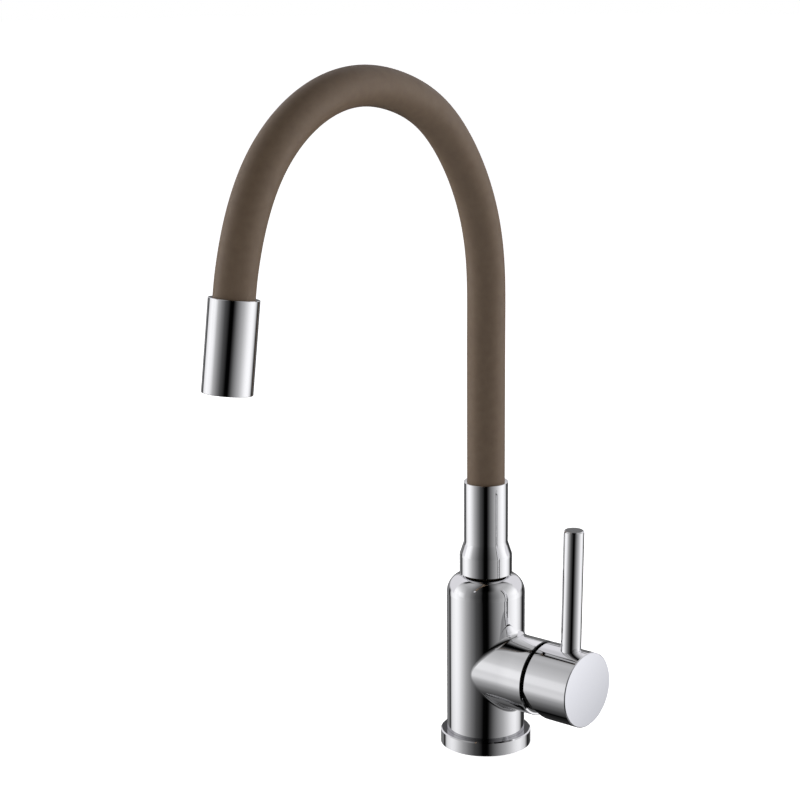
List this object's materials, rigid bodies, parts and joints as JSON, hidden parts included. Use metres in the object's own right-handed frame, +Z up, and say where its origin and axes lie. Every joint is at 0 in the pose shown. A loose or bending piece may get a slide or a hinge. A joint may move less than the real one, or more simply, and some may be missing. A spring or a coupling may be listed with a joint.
{
  "type": "flexible kitchen faucet",
  "caption": "Deck-mounted kitchen mixer with a side lever on a stubby valve barrel and a swivelling, bendable rubber-sheathed hose spout that arches over to a slim cylindrical outlet head.",
  "frame": {"origin": "middle of the base's underside, on the column's axis, in the plane of the sink deck", "axes": "+Z up along the column; the hose arches over to -Y, where its outlet hangs; the valve barrel and lever point to +X"},
  "size_m": [0.1037, 0.2578, 0.4201],
  "materials": {
    "polished_chrome": "mirror-polished chrome plating over brass",
    "hose_silicone": "matte taupe-grey silicone",
    "stainless": "plain stainless steel, machine finish",
    "turned_brass": "turned brass, unplated",
    "ceramic": "lapped alumina ceramic",
    "white_acetal": "moulded acetal, natural white",
    "grey_acetal": "moulded acetal, grey",
    "black_acetal": "moulded acetal, black",
    "seal_rubber": "black sealing rubber"
  },
  "bodies": {
    "base": {"base_ring": "polished_chrome", "base_gasket": "seal_rubber", "body_casting": "polished_chrome", "glide_ring": "black_acetal", "snap_ring": "stainless", "port_seal": "seal_rubber", "cartridge_base": "grey_acetal", "fixed_disc": "ceramic", "cartridge_housing": "white_acetal", "cartridge_nut": "turned_brass", "dust_ring": "black_acetal"},
    "spout_base": {"swivel_nipple": "turned_brass", "nipple_seal": "seal_rubber", "collar": "polished_chrome", "hose_sheath_1": "hose_silicone", "gooseneck_core_1": "stainless"},
    "hose_lower": {"hose_sheath_2": "hose_silicone", "gooseneck_core_2": "stainless"},
    "hose_rise": {"hose_sheath_3": "hose_silicone", "gooseneck_core_3": "stainless"},
    "hose_crown": {"hose_sheath_4": "hose_silicone", "gooseneck_core_4": "stainless"},
    "outlet": {"hose_sheath_5": "hose_silicone", "gooseneck_core_5": "stainless", "head_shell": "polished_chrome", "hose_ferrule": "turned_brass", "aerator_washer": "seal_rubber", "aerator_insert": "white_acetal", "aerator_mesh": "stainless", "aerator_housing": "polished_chrome"},
    "mixer": {"cartridge_rotor": "grey_acetal", "pivot_pin": "stainless"},
    "disc_carriage": {"disc_carrier": "grey_acetal", "moving_disc": "ceramic"},
    "lever": {"lever_stem": "turned_brass", "handle_cap": "polished_chrome", "lever_rod": "polished_chrome", "grub_screw": "stainless", "index_plug": "grey_acetal"}
  },
  "joints": [
    {"name": "spout_swivel", "type": "hinge", "parent": "base", "child": "spout_base", "pos_m": [0, 0, 0.108], "axis": [0, 0, 1], "continuous": true},
    {"name": "hose_sway", "type": "hinge", "parent": "spout_base", "child": "hose_lower", "pos_m": [0, 0, 0.2057], "axis": [0, 1, 0], "range_deg": [-12, 12]},
    {"name": "hose_lean", "type": "hinge", "parent": "hose_lower", "child": "hose_rise", "pos_m": [0, 0, 0.2627], "axis": [1, 0, 0], "range_deg": [-15, 15]},
    {"name": "hose_crown_bend", "type": "hinge", "parent": "hose_rise", "child": "hose_crown", "pos_m": [0, -0.06923, 0.39928], "axis": [1, 0, 0], "range_deg": [-20, 20]},
    {"name": "hose_drop_bend", "type": "hinge", "parent": "hose_crown", "child": "outlet", "pos_m": [0, -0.19949, 0.34756], "axis": [1, 0, 0], "range_deg": [-20, 20]},
    {"name": "temperature_turn", "type": "hinge", "parent": "base", "child": "mixer", "pos_m": [0.0395, 0, 0.05], "axis": [1, 0, 0], "range_deg": [-50, 50]},
    {"name": "disc_slide", "type": "slide", "parent": "mixer", "child": "disc_carriage", "axis": [0, 0, 1], "range_m": [0, 0.0035]},
    {"name": "lever_tilt", "type": "hinge", "parent": "mixer", "child": "lever", "pos_m": [0.0395, 0, 0.05], "axis": [0, 1, 0], "range_deg": [0, 25]}
  ],
  "couplings": [
    {"joint": "disc_slide", "follows": "lever_tilt", "m_per_rad": 0.00775}
  ]
}
